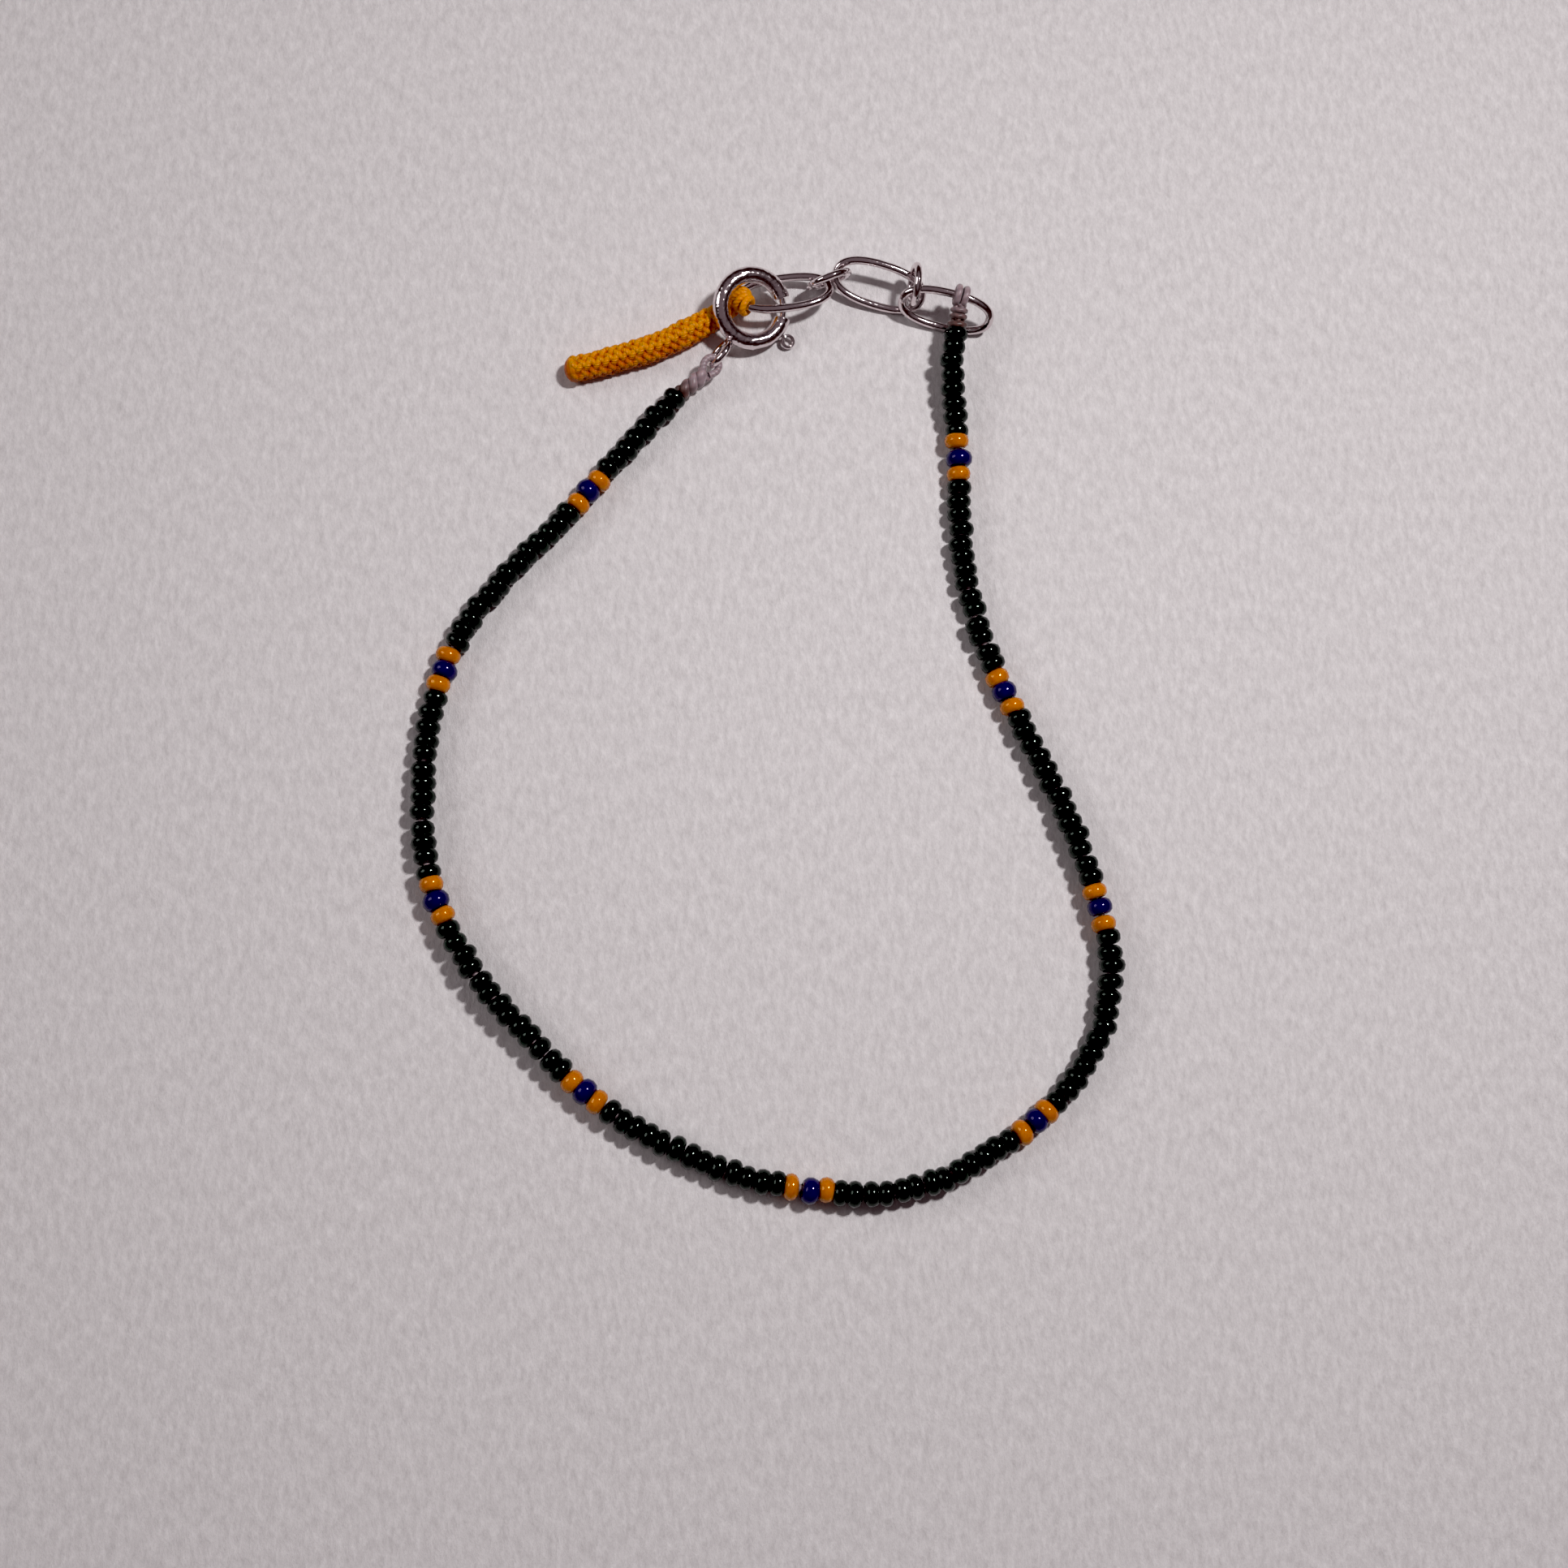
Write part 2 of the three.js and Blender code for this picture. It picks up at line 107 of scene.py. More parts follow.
def add_piece(name, shells, material, body, slot, *nodes, shade=None):
    """One smooth object in metres from several shells, which rides on a body and replaces CAD
    nodes. `shade` is one number a point, for the material to read."""
    faces, uvs, start = [], [], 0
    for shell in shells:
        faces += (shell["quads"] + start).tolist()
        uvs.append(shell["uv"].reshape(-1, 2))
        for cap in shell["caps"]:
            faces.append([i + start for i in cap])
            uvs.append(np.zeros((len(cap), 2)))
        start += len(shell["points"])
    mesh = bpy.data.meshes.new(name)
    mesh.from_pydata((np.concatenate([s["points"] for s in shells]) * MM).tolist(), [], faces)
    layer = mesh.uv_layers.new(name="UVMap")
    layer.data.foreach_set("uv", np.concatenate(uvs).astype(np.float32).ravel())
    if shade is not None:
        attribute = mesh.attributes.new("shade", "FLOAT", "POINT")
        attribute.data.foreach_set("value", np.asarray(shade, np.float32).ravel())
    mesh.polygons.foreach_set("use_smooth", np.ones(len(mesh.polygons), bool))
    mesh.materials.append(material)
    mesh.update()
    piece = bpy.data.objects.new(name, mesh)
    bpy.context.scene.collection.objects.link(piece)
    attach(piece, body)
    if nodes:
        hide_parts(*nodes)


def frames_along(path, reference=UP, closed=False):
    """At each point, the direction across both the path and the reference, and the one square to
    it and to the path."""
    if closed:
        tangent = np.roll(path, -1, axis=0) - np.roll(path, 1, axis=0)
    else:
        tangent = np.gradient(path, axis=0)
    tangent = unit(tangent)
    right = unit(np.cross(tangent, reference))
    return right, np.cross(right, tangent)


def along_and_length(path):
    """How far along the path each point is, if they are evenly spaced, and the whole length."""
    length = np.linalg.norm(np.diff(path, axis=0), axis=1).sum()
    return np.linspace(0, length, len(path)), length


def evenly(curve, count, **options):
    """`count` points at equal distances along a curve of many short steps."""
    steps = np.linalg.norm(np.diff(curve, axis=0), axis=1)
    reached = np.concatenate([[0], np.cumsum(steps)])
    even = np.linspace(0, reached[-1], count, **options)
    return np.stack([np.interp(even, reached, curve[:, k]) for k in range(3)], axis=1)


def swept(path, radius, sides=16, reference=UP, closed=False, tile=(1.0, 1.0)):
    """A round cord: path + radius * (cos a * right + sin a * above), for a = 0 .. 360 degrees."""
    right, above = frames_along(path, reference, closed)
    angle = np.linspace(0, 2 * np.pi, sides, endpoint=False)[None, :, None]
    round_ = np.cos(angle) * right[:, None] + np.sin(angle) * above[:, None]
    radius = np.broadcast_to(radius, len(path))[:, None, None]
    return grid_shell(path[:, None] + radius * round_, closed, tile)


def blunt(count, radius, taper):
    """A cord's radius along its length: full in the middle, and a quarter circle over the first
    and the last `taper` steps, which never quite closes."""
    step = np.minimum(np.arange(count), np.arange(count)[::-1])
    share = 1 - np.clip(step / taper, 0, 1)
    smallest = 0.02
    return radius * np.sqrt(np.clip(1 - share**2, smallest, 1))


def smooth_path(points, count):
    """`count` points evenly along a centripetal Catmull-Rom curve: a cubic between each pair whose
    end slopes come from its neighbours, spaced by the square root of their distances."""
    steps_per_pair = 60
    p = np.asarray(points, float)
    p = np.vstack([2 * p[0] - p[1], p, 2 * p[-1] - p[-2]])
    gap = np.linalg.norm(np.diff(p, axis=0), axis=1) ** 0.5
    a, b, c, d = p[:-3], p[1:-2], p[2:-1], p[3:]
    before, here, after = (g[:, None] for g in (gap[:-2], gap[1:-1], gap[2:]))
    slope_b = ((b - a) / before - (c - a) / (before + here) + (c - b) / here) * here
    slope_c = ((c - b) / here - (d - b) / (here + after) + (d - c) / after) * here
    t = np.linspace(0, 1, steps_per_pair, endpoint=False)[:, None, None]
    curve = (
        (2 * t**3 - 3 * t**2 + 1) * b
        + (t**3 - 2 * t**2 + t) * slope_b
        + (3 * t**2 - 2 * t**3) * c
        + (t**3 - t**2) * slope_c
    )
    return evenly(np.vstack([curve.transpose(1, 0, 2).reshape(-1, 3), p[-2]]), count)


# ---------------------------------------------------------------- materials


def linear(hex_colour):
    """An sRGB hex colour as linear red, green, blue and 1."""
    s = np.array([int(hex_colour[i : i + 2], 16) for i in (1, 3, 5)]) / 255
    rgb = np.where(s <= 0.04045, s / 12.92, ((s + 0.055) / 1.055) ** 2.4)
    return (*rgb.tolist(), 1.0)


def add_node(tree, kind, links=(), **settings):
    """One node with its settings: a plain name is an attribute, and an input's name with _ for a
    space is its value. links are (its input, the socket that feeds it)."""
    node = tree.nodes.new(kind)
    for key, value in settings.items():
        name = key.replace("_", " ")
        if hasattr(node, key):
            setattr(node, key, value)
        else:
            node.inputs[name].default_value = value
    for name, socket in links:
        tree.links.new(socket, node.inputs[name])
    return node


def new_material(name, **settings):
    """A material with one Principled shader and these values on it."""
    material = bpy.data.materials.new(name)
    material.use_nodes = True
    tree = material.node_tree
    shader = tree.nodes["Principled BSDF"]
    for key, value in settings.items():
        shader.inputs[key.replace("_", " ")].default_value = value
    return material, tree, shader


def colour_steps(tree, factor, steps):
    """A colour ramp through (place, hex colour) steps."""
    ramp = add_node(tree, "ShaderNodeValToRGB", [("Fac", factor)])
    elements = ramp.color_ramp.elements
    while len(elements) < len(steps):
        elements.new(0.5)
    for element, (place, colour) in zip(elements, steps):
        element.position = place
        element.color = linear(colour)
    return ramp.outputs["Color"]


def object_noise(tree, size_mm, detail=2.0, roughness=0.5, stretch=(1, 1, 1), turn=0.0):
    """Noise whose patches are about this wide, on the object's own coordinates, which may be
    scaled along each axis and turned by radians about Z."""
    at = add_node(tree, "ShaderNodeTexCoord").outputs["Object"]
    mapping = add_node(tree, "ShaderNodeMapping", [("Vector", at)])
    mapping.inputs["Scale"].default_value = stretch
    mapping.inputs["Rotation"].default_value = (0, 0, turn)
    return add_node(
        tree,
        "ShaderNodeTexNoise",
        [("Vector", mapping.outputs["Vector"])],
        Scale=1 / (size_mm * MM),
        Detail=detail,
        Roughness=roughness,
    ).outputs["Fac"]


def bumped(tree, shader, height, distance_mm, strength=1.0):
    """A bump of this real height on the shader."""
    bump = add_node(tree, "ShaderNodeBump", [("Height", height)], Strength=strength)
    bump.inputs["Distance"].default_value = distance_mm * MM
    tree.links.new(bump.outputs["Normal"], shader.inputs["Normal"])


def emerald_glass():
    """Pressed transparent glass, so deep a green that only its thin middle lets light through.
    Each bead's shade sets how deep."""
    material, tree, shader = new_material(
        "emerald_pressed_glass",
        Roughness=0.13,
        IOR=1.52,
        Transmission_Weight=0.6,
        Specular_IOR_Level=0.18,
        Specular_Tint=linear("#E4F4EA"),
    )
    shade = add_node(tree, "ShaderNodeAttribute", attribute_name="shade").outputs["Fac"]
    colour = colour_steps(tree, shade, [(0.0, "#010704"), (0.6, "#02110A"), (1.0, "#072616")])
    tree.links.new(colour, shader.inputs["Base Color"])
    bumped(tree, shader, object_noise(tree, 0.45), 0.02)
    return material


def amber_glass():
    """Opaque amber glass: even, glossy, and a little light gets under its skin."""
    material, tree, shader = new_material(
        "amber_opaque_glass",
        Roughness=0.12,
        IOR=1.52,
        Specular_IOR_Level=0.8,
        Specular_Tint=linear("#FFD890"),
        Subsurface_Weight=0.5,
        Subsurface_Scale=0.6 * MM,
        Subsurface_Radius=(1.0, 0.5, 0.1),
    )
    colour = colour_steps(tree, object_noise(tree, 0.8), [(0.3, "#BA6A02"), (0.7, "#CE7A02")])
    tree.links.new(colour, shader.inputs["Base Color"])
    bumped(tree, shader, object_noise(tree, 0.5), 0.015)
    return material


def cobalt_glass():
    """Opaque deep violet-blue glass, glossy, almost black where the light is low."""
    material, tree, shader = new_material(
        "cobalt_opaque_glass",
        Roughness=0.13,
        IOR=1.52,
        Specular_IOR_Level=0.45,
        Specular_Tint=linear("#CFC6FF"),
    )
    colour = colour_steps(tree, object_noise(tree, 0.8), [(0.3, "#080142"), (0.7, "#100552")])
    tree.links.new(colour, shader.inputs["Base Color"])
    bumped(tree, shader, object_noise(tree, 0.5), 0.015)
    return material


def sterling_silver(name, ripple, depth):
    """Polished sterling silver: bright, faintly warm, and scuffed and rippled by tumbling, with
    ripples of this width and depth, so that lights stretch into streaks and break up."""
    material, tree, shader = new_material(name, Base_Color=linear("#DED3D5"), Metallic=1.0)
    scuffs = object_noise(tree, 0.3, 4.0)
    rough = add_node(tree, "ShaderNodeMapRange", [("Value", scuffs)], To_Min=0.05, To_Max=0.15)
    tree.links.new(rough.outputs["Result"], shader.inputs["Roughness"])
    bumped(tree, shader, object_noise(tree, ripple, 3.0), depth)
    return material


def slanting_bands(tree, scale, distortion):
    """Bands that run aslant round a cord, on its UV."""
    uv = add_node(tree, "ShaderNodeTexCoord").outputs["UV"]
    return add_node(
        tree,
        "ShaderNodeTexWave",
        [("Vector", uv)],
        bands_direction="DIAGONAL",
        Scale=scale,
        Distortion=distortion,
    ).outputs["Fac"]


def waxed_thread():
    """Waxed polyester thread: mauve-grey twisted plies, with brown wax beside the beads."""
    material, tree, shader = new_material(
        "waxed_polyester_thread",
        Roughness=0.42,
        Sheen_Weight=0.25,
        Subsurface_Weight=0.15,
        Subsurface_Scale=0.2 * MM,
    )
    plies = slanting_bands(tree, 1.0, 0.6)
    wax = add_node(tree, "ShaderNodeAttribute", attribute_name="shade").outputs["Fac"]
    pale = colour_steps(tree, plies, [(0.1, "#8E7A80"), (0.8, "#A08A90")])
    dark = colour_steps(tree, plies, [(0.1, "#462824"), (0.8, "#5E3E3A")])
    mix = add_node(tree, "ShaderNodeMix", data_type="RGBA")
    tree.links.new(wax, mix.inputs["Factor"])
    tree.links.new(pale, mix.inputs["A"])
    tree.links.new(dark, mix.inputs["B"])
    tree.links.new(mix.outputs["Result"], shader.inputs["Base Color"])
    bumped(tree, shader, plies, 0.012)
    return material


def braided_nylon():
    """Knotted golden-yellow nylon cord: bundles of shiny filaments, with painted shade that makes
    them amber in their furrows and painted light that makes them bright yellow along their crests
    and on the side toward the key lamp, melted to a smooth brownish bead at the cut end."""
    material, tree, shader = new_material(
        "braided_golden_nylon",
        Roughness=0.42,
        IOR=1.53,
        Specular_IOR_Level=0.2,
        Subsurface_Weight=0.4,
        Subsurface_Scale=0.25 * MM,
        Subsurface_Radius=(1.0, 0.5, 0.05),
    )
    filaments = slanting_bands(tree, 1.6, 0.8)
    # painted shade and light: low in the braid's furrows, high on its crests and on the lamp side
    painted_shade_and_light = add_node(tree, "ShaderNodeAttribute", attribute_name="shade").outputs["Fac"]
    steps = [(0.0, "#B45600"), (0.35, "#BE5C00"), (0.7, "#C66000"), (1.0, "#DE8E08")]
    colour = colour_steps(tree, painted_shade_and_light, steps)
    tree.links.new(colour, shader.inputs["Base Color"])
    bumped(tree, shader, filaments, 0.03)
    return material


def laid_paper():
    """Uncoated pale mauve-grey paper: soft fibre clumps about a millimetre long, all one way."""
    material, tree, shader = new_material("uncoated_paper", Roughness=0.85)
    clumps = object_noise(tree, 0.9, 6.0, 0.78, stretch=(1.7, 0.75, 1), turn=0.35)
    colour = colour_steps(tree, clumps, [(0.3, "#CAC4C5"), (0.7, "#EDE8E9")])
    tree.links.new(colour, shader.inputs["Base Color"])
    bumped(tree, shader, clumps, 0.17, 0.8)
    return material


WIRE_SILVER = sterling_silver("drawn_sterling_silver", 0.6, 0.035)
CLASP_SILVER = sterling_silver("tumbled_sterling_silver", 0.45, 0.06)
EMERALD = emerald_glass()
AMBER = amber_glass()
COBALT = cobalt_glass()
THREAD_FINISH = waxed_thread()
NYLON = braided_nylon()

# ---------------------------------------------------------------- the strand of beads

BEAD_SIZE = {"green": (1.88, 1.07), "orange": (1.86, 1.1), "blue": (1.95, 1.24)}  # width, length
GREEN_RUNS = (8, 14, 13, 13, 13, 13, 13, 13, 13, 8)
BEAD_WAIST, BEAD_HOLE = 0.4, 0.28  # radius where a bead is longest, and of its hole
BEAD_ROWS = (0, 27, 58, 90, 122, 153, 180, 270)  # degrees round its outline, 270 inside the hole
BEAD_SIDES = 16
BEAD_SCATTER = {"tilt": 0.07, "place": 0.06, "size": 0.03, "oval": 0.012}  # standard deviations
WIDTH_RANGE, LENGTH_RANGE = (0.94, 1.06), (0.97, 1.08)  # the shares that scatter may reach
LENGTH_MEAN = 1.03  # beads are a little longer than their pitch, so that most of them touch
OUTLINE_POWER = (0.8, 1.0)
GREEN_DEPTH = (1.6, 3.0)  # the two values of a beta distribution
BEAD_FLOOR = 0.004  # no bead goes below this
CORE_RADIUS, CORE_TRIM, CORE_STEP = 0.24, 40, 12  # the thread inside the beads
STRAND_ROUTE = [
    (14.75, 29.75, 2.1), (14.28, 25.9, 1.9), (14.58, 23.15, 1.4), (14.69, 18.4, 0.98),
    (14.7, 14, 0.87), (15.1, 9.9, 0.9), (16, 6.05, 0.96), (17.6, 1.85, 1.05), (19.9, -3.2, 1.22),
    (22.05, -8.25, 1.42), (23.6, -13.4, 1.42), (24.5, -17.45, 1.28), (24.05, -21.75, 1.1),
    (22.5, -25.4, 0.91), (18.9, -29.3, 0.99), (14.35, -32.3, 1.2), (9.35, -34.2, 1.33),
    (3.9, -34.2, 1.28), (-1.9, -33.1, 1.2), (-7.8, -30.6, 1.2), (-13, -27.15, 1.42),
    (-16.9, -23.25, 1.55), (-20.45, -19.15, 1.58), (-23.05, -14.6, 1.5), (-24.45, -9.5, 1.34),
    (-24.5, -3.95, 1.15), (-23.9, 1.05, 0.98), (-21.9, 6.2, 0.91), (-18.6, 10.6, 0.87),
    (-14.8, 14.6, 0.87), (-11.3, 18.8, 0.88), (-8.5, 22, 0.92), (-6.1, 24.6, 0.95),
]
STRAND = smooth_path(STRAND_ROUTE, 3000)
STRAND_TANGENT = unit(np.gradient(STRAND, axis=0))


def bead_order():
    """Each bead's colour, and the CAD node that it belongs to, along the strand."""
    beads = []
    for run, count in enumerate(GREEN_RUNS, 1):
        beads += [("green", f"green_beads_{run}")] * count
        if run < len(GREEN_RUNS):
            beads += [
                ("orange", f"orange_bead_{run}_a"),
                ("blue", f"blue_bead_{run}"),
                ("orange", f"orange_bead_{run}_b"),
            ]
    return beads


def bead_skins():
    """Every bead's surface at once, (beads, rows, columns, 3). Cut along its hole a bead is a fat
    oval: along = half length * -c, with c's sign kept and its size raised to a power, and out =
    waist + (rim - waist) * s outside or waist + (waist - hole) * s inside, where c and s are the
    cosine and sine of a row's angle. That outline turns about the bead's own axis."""
    beads = bead_order()
    count = len(beads)
    width, length = np.array([BEAD_SIZE[colour] for colour, _ in beads]).T
    end = np.cumsum(length) / length.sum()
    middle = (end - length / length.sum() / 2) * (len(STRAND) - 1)
    at, axis = (
        np.stack([np.interp(middle, np.arange(len(STRAND)), line[:, k]) for k in range(3)], axis=1)
        for line in (STRAND, STRAND_TANGENT)
    )
    axis = unit(axis + RNG.normal(0, BEAD_SCATTER["tilt"], (count, 3)))
    at = at + RNG.normal(0, BEAD_SCATTER["place"], (count, 3))
    width = width * RNG.normal(1, BEAD_SCATTER["size"], count).clip(*WIDTH_RANGE)
    length = length * RNG.normal(LENGTH_MEAN, BEAD_SCATTER["size"], count).clip(*LENGTH_RANGE)
    power = RNG.uniform(*OUTLINE_POWER, count)[:, None, None]
    right = unit(np.cross(axis, UP))
    above = np.cross(right, axis)
    row = np.radians(BEAD_ROWS)[None, :, None]
    turn = np.linspace(0, 2 * np.pi, BEAD_SIDES, endpoint=False)[None, None, :]
    c, s = np.cos(row), np.sin(row)
    along = length[:, None, None] / 2 * -np.sign(c) * np.abs(c) ** power
    rim = (width / 2)[:, None, None]
    out = BEAD_WAIST + np.where(s > 0, rim - BEAD_WAIST, BEAD_WAIST - BEAD_HOLE) * s
    oval = 1 + RNG.normal(0, BEAD_SCATTER["oval"], (count, 1, 1)) * np.cos(2 * turn)
    skins = (
        at[:, None, None]
        + along[..., None] * axis[:, None, None]
        + (out * oval * np.cos(turn))[..., None] * right[:, None, None]
        + (out * oval * np.sin(turn))[..., None] * above[:, None, None]
    )
    low = skins[..., 2].min(axis=(1, 2))
    skins[..., 2] += np.maximum(0, BEAD_FLOOR - low)[:, None, None]
    return beads, skins


def make_strand():
    """The beads, a run or a single bead to an object, and the thread through all their holes. A
    bead's shade is one random number: most are dark and a few paler."""
    beads, skins = bead_skins()
    shade = RNG.beta(*GREEN_DEPTH, len(beads))
    finish = {
        "green": (EMERALD, "green_glass"),
        "orange": (AMBER, "amber_glass"),
        "blue": (COBALT, "blue_glass"),
    }
    for node in dict.fromkeys(node for _, node in beads):
        own = [i for i, bead in enumerate(beads) if bead[1] == node]
        material, slot = finish[beads[own[0]][0]]
        shells = [grid_shell(skins[i], closed_rows=True) for i in own]
        points = skins.shape[1] * skins.shape[2]
        add_piece(
            node.replace("bead", "glass_bead"),
            shells,
            material,
            "bracelet",
            slot,
            node,
            shade=np.repeat(shade[own], points),
        )
    core = swept(STRAND[CORE_TRIM:-CORE_TRIM:CORE_STEP], CORE_RADIUS, 8, tile=(1, 160))
    add_piece("strand_thread", [core], THREAD_FINISH, "bracelet", "waxed_thread")


make_strand()

# ---------------------------------------------------------------- the chain

LINK = {"length": 6.76, "width": 3.09, "wire": 0.62, "power": 2.4}
LINK_PLACES = {
    "link_1": ((1.89, 32.5, 1.7), 9.0, -0.2, -21.4),
    "link_2": ((9.02, 33.39, 1.33), -14.8, -6.1, 34.3),
    "link_3": ((14.02, 31.3, 1.69), -12.3, -3.5, 57.7),
}  # middle, then degrees of heading, pitch and roll
RING_PLACES = {
    "connecting_ring_1": ((5.2, 33.53, 1.91), 1.53, 111.5, 12.8),
    "connecting_ring_2": ((11.62, 33.05, 2.28), 1.42, -3.5, -5.0),
}  # middle, radius, then where its axis points: degrees round and up
RING_WIRE = 0.56


def turned(points, at, heading, pitch, roll):
    """Points turned by roll about x, then -pitch about y, then heading about z, and moved."""
    turn = (
        Matrix.Rotation(math.radians(heading), 3, "Z")
        @ Matrix.Rotation(math.radians(-pitch), 3, "Y")
        @ Matrix.Rotation(math.radians(roll), 3, "X")
    )
    return points @ np.array(turn).T + at


def squared_oval(length, width, power, count):
    """x = length/2 * c**(2/power), y = width/2 * s**(2/power), signs kept, evenly spaced, and
    starting just off the X axis."""
    off_axis = 0.01
    angle = np.linspace(0, 2 * np.pi, 2000, endpoint=False) + off_axis
    c, s = np.cos(angle), np.sin(angle)
    loop = np.stack(
        [
            length / 2 * np.sign(c) * np.abs(c) ** (2 / power),
            width / 2 * np.sign(s) * np.abs(s) ** (2 / power),
            np.zeros_like(c),
        ],
        axis=1,
    )
    return evenly(np.vstack([loop, loop[:1]]), count, endpoint=False)


def circle(radius, count):
    """radius * (cos a, sin a, 0) all the way round."""
    angle = np.linspace(0, 2 * np.pi, count, endpoint=False)
    return radius * np.stack([np.cos(angle), np.sin(angle), np.zeros_like(angle)], axis=1)


def add_wire_loop(name, loop, wire, *place):
    """A closed loop of silver wire, drawn flat and then turned to its place."""
    shell = swept(loop, wire / 2, 16, closed=True)
    shell["points"] = turned(shell["points"], *place)
    add_piece("silver_" + name, [shell], WIRE_SILVER, "bracelet", "silver", name)


def make_chain():
    """Three long links and two round rings. A ring's axis starts upright, 90 degrees up."""
    oval = squared_oval(LINK["length"], LINK["width"], LINK["power"], 120)
    for name, (at, heading, pitch, roll) in LINK_PLACES.items():
        add_wire_loop(name, oval, LINK["wire"], at, heading, pitch, roll)
    for name, (at, radius, facing, lean) in RING_PLACES.items():
        add_wire_loop(name, circle(radius, 72), RING_WIRE, at, facing, lean - 90, 0)


make_chain()

# ---------------------------------------------------------------- the clasp

# Every "at", "from" and "to" is in degrees round the clasp, anticlockwise from +X. Every other
# value is in millimetres, but for the slot's half width in degrees round the tube's own section.
CLASP_AT, CLASP_TILT, CLASP_LOW_SIDE = (-0.63, 31.12, 1.95), 24, -45
CLASP = {"radius": 2.48, "tube": 0.62, "bore": 0.4, "from": 22, "to": 348}
CLASP_SIDES = 36  # round the tube's section
ROLLED_EDGE = (0.07, 0.025)  # how far the tube's ends are rounded in, at its last two rows
ROLLED_INSIDE = 0.6  # and its bore's ends are rounded out, as a share of that
SLOT = {"from": 278, "to": 328, "half_width": 30}
TONGUE = {"from": -41, "to": 30, "radius": 0.23}
LEVER = {"at": -37, "eye": 3.72, "eye_radius": 0.42, "wire": 0.15}
LEVER_STEM = 1.15  # its stem's radius, as a share of its wire's
EYE = {"at": -124, "middle": 4.3, "radius": 1.1, "wire": 0.25}
SOLDER, SOLDER_OUT = (0.27, 0.27, 0.3), 0.02  # its half sizes, and how far outside the tube
TILT_AXIS = math.radians(CLASP_LOW_SIDE + 90)
CLASP_TURN = np.array(
    Matrix.Rotation(
        math.radians(CLASP_TILT), 3, Vector((math.cos(TILT_AXIS), math.sin(TILT_AXIS), 0))
    )
)


def in_clasp(points):
    """Points of the flat clasp, tilted and moved to where it lies."""
    return points @ CLASP_TURN.T + CLASP_AT


def polar(radius, degrees, height=0.0):
    """(radius * cos, radius * sin, height) for arrays of any one shape."""
    angle = np.radians(degrees)
    x, y = radius * np.cos(angle), radius * np.sin(angle)
    return np.stack(np.broadcast_arrays(x, y, height), axis=-1)


def tube_wall(turn_degrees, section_degrees, radius):
    """A torus's skin: (R + r cos s) out at angle t, and r sin s up, for rows t and columns s."""
    turn, section = turn_degrees[:, None], np.radians(section_degrees)[None, :]
    radius = radius[:, None]
    return polar(CLASP["radius"] + radius * np.cos(section), turn, radius * np.sin(section))


def spring_ring():
    """The clasp's tube: an outer and an inner wall on one grid, joined at both rolled ends and
    round the slot that its lever slides in."""
    last_rows, straight = np.array([0, 0.3, 1.0]), 3  # degrees from an end
    turn = np.concatenate(
        [
            CLASP["from"] + last_rows,
            np.linspace(CLASP["from"] + straight, SLOT["from"], 64),
            np.linspace(SLOT["from"], SLOT["to"], 16)[1:],
            np.linspace(SLOT["to"], CLASP["to"] - straight, 7)[1:],
            CLASP["to"] - last_rows[::-1],
        ]
    )
    rows, columns = len(turn), CLASP_SIDES
    section = np.arange(columns) * 360 / columns
    rolled = np.zeros(rows)
    rolled[[0, 1]] = rolled[[-1, -2]] = ROLLED_EDGE
    outer = tube_wall(turn, section, CLASP["tube"] - rolled)
    inner = tube_wall(turn, section, CLASP["bore"] + rolled * ROLLED_INSIDE)
    first, last = (int(np.argmin(np.abs(turn - SLOT[k]))) for k in ("from", "to"))
    half = round(SLOT["half_width"] / (360 / columns))
    (row, column), corner_row, corner_column = grid_corners(rows - 1, columns)
    open_ = (row >= first) & (row < last) & ((column < half) | (column >= columns - half))
    walls = (corner_row * columns + corner_column % columns)[~open_]
    inner_start = rows * columns

    def between(rows_, columns_):
        """Quads from the outer wall to the inner one along a run of grid corners."""
        edge = np.asarray(rows_) * columns + np.asarray(columns_) % columns
        near, far = edge[:-1], edge[1:]
        return np.stack([near, far, far + inner_start, near + inner_start], axis=1)

    across = np.arange(-half, half + 1)
    along = np.arange(first, last + 1)
    round_ = np.arange(columns + 1)
    joins = [
        between(np.zeros_like(round_), round_),
        between(np.full_like(round_, rows - 1), round_)[:, ::-1],
        between(np.full_like(across, first), across)[:, ::-1],
        between(np.full_like(across, last), across),
        between(along, np.full_like(along, half))[:, ::-1],
        between(along, np.full_like(along, -half)),
    ]
    quads = np.concatenate([walls, walls[:, ::-1] + inner_start, *joins])
    points = np.concatenate([outer.reshape(-1, 3), inner.reshape(-1, 3)])
    return {"points": points, "quads": quads, "uv": np.zeros((*quads.shape, 2)), "caps": []}


def ellipsoid(middle, radii):
    """middle + (rx sin u cos v, ry sin u sin v, rz cos u), closed by a small face at each pole."""
    pole, rows, columns = 0.02, 14, 20
    u = np.linspace(pole, np.pi - pole, rows)[:, None]
    v = -np.linspace(0, 2 * np.pi, columns, endpoint=False)[None, :]
    ball = (np.sin(u) * np.cos(v), np.sin(u) * np.sin(v), np.cos(u))
    return grid_shell(middle + np.stack(np.broadcast_arrays(*ball), axis=-1) * radii)


def add_in_clasp(name, shells, material, body, node):
    """Shells of the flat clasp, moved to where it lies, as one piece."""
    for shell in shells:
        shell["points"] = in_clasp(shell["points"])
    add_piece(name, shells, material, body, "silver", node)


